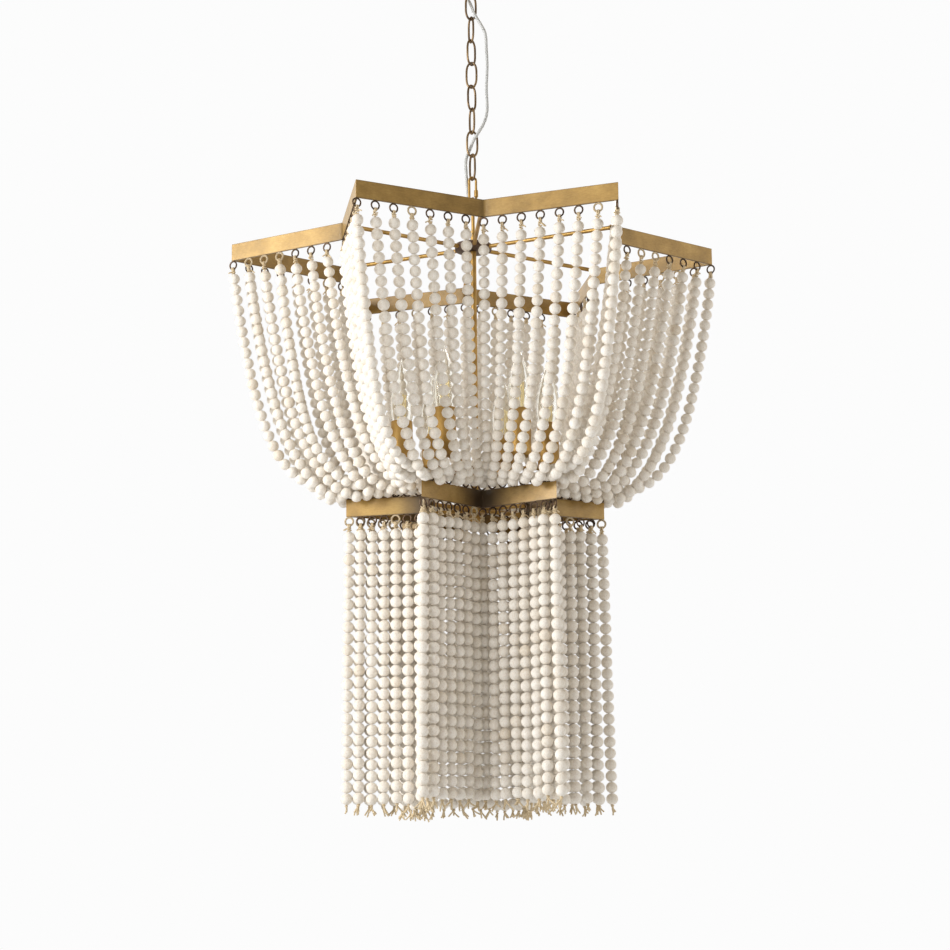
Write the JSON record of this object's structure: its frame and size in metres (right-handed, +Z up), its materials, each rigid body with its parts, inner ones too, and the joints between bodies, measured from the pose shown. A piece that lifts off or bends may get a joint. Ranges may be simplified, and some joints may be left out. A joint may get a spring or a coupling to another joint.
{
  "type": "chandelier",
  "caption": "Chandelier of stacked star-shaped metal bands with wooden bead swags between them, a bead fringe below, candle lights inside, and a chain and cord to a round ceiling canopy",
  "frame": {"origin": "on the ceiling plane, on the vertical axis that the chain and both stars share; it is the middle of the mounting strap's top face", "axes": "+Z up to the ceiling; +X to the right as the picture shows the object; -Y towards the viewer"},
  "size_m": [0.7098, 0.6426, 1.2564],
  "materials": {
    "antique_brass": "brushed antique gold",
    "dark_bronze": "dark antique bronze",
    "whitewashed_beads": "matte whitewash over turned wood, with bronze rings and jute knots",
    "clear_glass": "clear",
    "silver_cord": "satin silver-grey sleeve"
  },
  "bodies": {
    "ceiling_fitting": {"mounting_strap": "dark_bronze", "threaded_nipple": "dark_bronze", "lock_nut": "dark_bronze", "collar_loop": "antique_brass"},
    "canopy_shell": {"canopy": "antique_brass", "collar_ring": "antique_brass"},
    "body_chain_link_1": {"chain_link_1": "dark_bronze"},
    "body_chain_link_2": {"chain_link_2": "dark_bronze"},
    "body_chain_link_3": {"chain_link_3": "dark_bronze"},
    "body_chain_link_4": {"chain_link_4": "dark_bronze"},
    "body_chain_link_5": {"chain_link_5": "dark_bronze"},
    "body_chain_link_6": {"chain_link_6": "dark_bronze"},
    "body_chain_link_7": {"chain_link_7": "dark_bronze"},
    "body_chain_link_8": {"chain_link_8": "dark_bronze"},
    "body_quick_link": {"quick_link": "dark_bronze"},
    "body_lock_sleeve": {"lock_sleeve": "antique_brass"},
    "fixture": {"eye_bolt": "antique_brass", "hub_nut": "antique_brass", "upper_spider": "antique_brass", "centre_rod": "antique_brass", "lower_spider": "antique_brass", "finial_nut": "antique_brass", "upper_star_band": "antique_brass", "lower_star_band": "antique_brass", "lamp_arms": "antique_brass", "candle_sleeve_1": "antique_brass", "candle_sleeve_2": "antique_brass", "candle_sleeve_3": "antique_brass", "candle_sleeve_4": "antique_brass", "candle_sleeve_5": "antique_brass", "candle_sleeve_6": "antique_brass", "swag_point_1": "whitewashed_beads", "swag_point_2": "whitewashed_beads", "swag_point_3": "whitewashed_beads", "swag_point_4": "whitewashed_beads", "swag_point_5": "whitewashed_beads", "swag_point_6": "whitewashed_beads", "fringe_point_1": "whitewashed_beads", "fringe_point_2": "whitewashed_beads", "fringe_point_3": "whitewashed_beads", "fringe_point_4": "whitewashed_beads", "fringe_point_5": "whitewashed_beads", "fringe_point_6": "whitewashed_beads", "supply_cord": "silver_cord"},
    "body_bulb_1": {"bulb_1": "clear_glass"},
    "body_bulb_2": {"bulb_2": "clear_glass"},
    "body_bulb_3": {"bulb_3": "clear_glass"},
    "body_bulb_4": {"bulb_4": "clear_glass"},
    "body_bulb_5": {"bulb_5": "clear_glass"},
    "body_bulb_6": {"bulb_6": "clear_glass"},
    "body_tip_strand_1": {"fringe_tip_strand_1": "whitewashed_beads"},
    "body_tip_strand_2": {"fringe_tip_strand_2": "whitewashed_beads"},
    "body_tip_strand_3": {"fringe_tip_strand_3": "whitewashed_beads"},
    "body_tip_strand_4": {"fringe_tip_strand_4": "whitewashed_beads"},
    "body_tip_strand_5": {"fringe_tip_strand_5": "whitewashed_beads"},
    "body_tip_strand_6": {"fringe_tip_strand_6": "whitewashed_beads"}
  },
  "joints": [
    {"name": "canopy_drop", "type": "slide", "parent": "ceiling_fitting", "child": "canopy_shell", "axis": [0, 0, -1], "range_m": [0, 0.035]},
    {"name": "chain_link_1_swing", "type": "hinge", "parent": "ceiling_fitting", "child": "body_chain_link_1", "pos_m": [0, 0, -0.04863], "axis": [-0.342, 0.9397, 0], "range_deg": [-10, 10]},
    {"name": "chain_link_2_swing", "type": "hinge", "parent": "body_chain_link_1", "child": "body_chain_link_2", "pos_m": [0, 0, -0.08417], "axis": [-0.9063, -0.4226, 0], "range_deg": [-10, 10]},
    {"name": "chain_link_3_swing", "type": "hinge", "parent": "body_chain_link_2", "child": "body_chain_link_3", "pos_m": [0, 0, -0.11987], "axis": [-0.7071, 0.7071, 0], "range_deg": [-10, 10]},
    {"name": "chain_link_4_swing", "type": "hinge", "parent": "body_chain_link_3", "child": "body_chain_link_4", "pos_m": [0, 0, -0.15557], "axis": [-0.342, -0.9397, 0], "range_deg": [-10, 10]},
    {"name": "chain_link_5_swing", "type": "hinge", "parent": "body_chain_link_4", "child": "body_chain_link_5", "pos_m": [0, 0, -0.19128], "axis": [-0.7193, 0.6947, 0], "range_deg": [-10, 10]},
    {"name": "chain_link_6_swing", "type": "hinge", "parent": "body_chain_link_5", "child": "body_chain_link_6", "pos_m": [0, 0, -0.22698], "axis": [-0.9063, -0.4226, 0], "range_deg": [-10, 10]},
    {"name": "chain_link_7_swing", "type": "hinge", "parent": "body_chain_link_6", "child": "body_chain_link_7", "pos_m": [0, 0, -0.26267], "axis": [-0.2924, 0.9563, 0], "range_deg": [-10, 10]},
    {"name": "chain_link_8_swing", "type": "hinge", "parent": "body_chain_link_7", "child": "body_chain_link_8", "pos_m": [0, 0, -0.29838], "axis": [-0.8829, -0.4695, 0], "range_deg": [-10, 10]},
    {"name": "quick_link_swing", "type": "hinge", "parent": "body_chain_link_8", "child": "body_quick_link", "pos_m": [0, 0, -0.33408], "axis": [-0.1736, 0.9848, 0], "range_deg": [-10, 10]},
    {"name": "lock_sleeve_travel", "type": "slide", "parent": "body_quick_link", "child": "body_lock_sleeve", "axis": [0, 0, 1], "range_m": [0, 0.011]},
    {"name": "fixture_swing", "type": "hinge", "parent": "body_quick_link", "child": "fixture", "pos_m": [0, 0, -0.36693], "axis": [1, 0, 0], "range_deg": [-10, 10], "deforming": ["supply_cord"]},
    {"name": "bulb_1_unscrew", "type": "slide", "parent": "fixture", "child": "body_bulb_1", "axis": [0, 0, 1], "range_m": [0, 0.045]},
    {"name": "bulb_2_unscrew", "type": "slide", "parent": "fixture", "child": "body_bulb_2", "axis": [0, 0, 1], "range_m": [0, 0.045]},
    {"name": "bulb_3_unscrew", "type": "slide", "parent": "fixture", "child": "body_bulb_3", "axis": [0, 0, 1], "range_m": [0, 0.045]},
    {"name": "bulb_4_unscrew", "type": "slide", "parent": "fixture", "child": "body_bulb_4", "axis": [0, 0, 1], "range_m": [0, 0.045]},
    {"name": "bulb_5_unscrew", "type": "slide", "parent": "fixture", "child": "body_bulb_5", "axis": [0, 0, 1], "range_m": [0, 0.045]},
    {"name": "bulb_6_unscrew", "type": "slide", "parent": "fixture", "child": "body_bulb_6", "axis": [0, 0, 1], "range_m": [0, 0.045]},
    {"name": "tip_strand_1_swing", "type": "hinge", "parent": "fixture", "child": "body_tip_strand_1", "pos_m": [0.18029, 0.02076, -0.85187], "axis": [0.1144, -0.9934, 0], "range_deg": [0, 20]},
    {"name": "tip_strand_2_swing", "type": "hinge", "parent": "fixture", "child": "body_tip_strand_2", "pos_m": [0.07216, 0.16652, -0.85187], "axis": [0.9175, -0.3976, 0], "range_deg": [0, 20]},
    {"name": "tip_strand_3_swing", "type": "hinge", "parent": "fixture", "child": "body_tip_strand_3", "pos_m": [-0.10813, 0.14575, -0.85187], "axis": [0.8031, 0.5958, 0], "range_deg": [0, 20]},
    {"name": "tip_strand_4_swing", "type": "hinge", "parent": "fixture", "child": "body_tip_strand_4", "pos_m": [-0.18029, -0.02076, -0.85187], "axis": [-0.1144, 0.9934, 0], "range_deg": [0, 20]},
    {"name": "tip_strand_5_swing", "type": "hinge", "parent": "fixture", "child": "body_tip_strand_5", "pos_m": [-0.07216, -0.16652, -0.85187], "axis": [-0.9175, 0.3976, 0], "range_deg": [0, 20]},
    {"name": "tip_strand_6_swing", "type": "hinge", "parent": "fixture", "child": "body_tip_strand_6", "pos_m": [0.10813, -0.14575, -0.85187], "axis": [-0.8031, -0.5958, 0], "range_deg": [0, 20]}
  ]
}
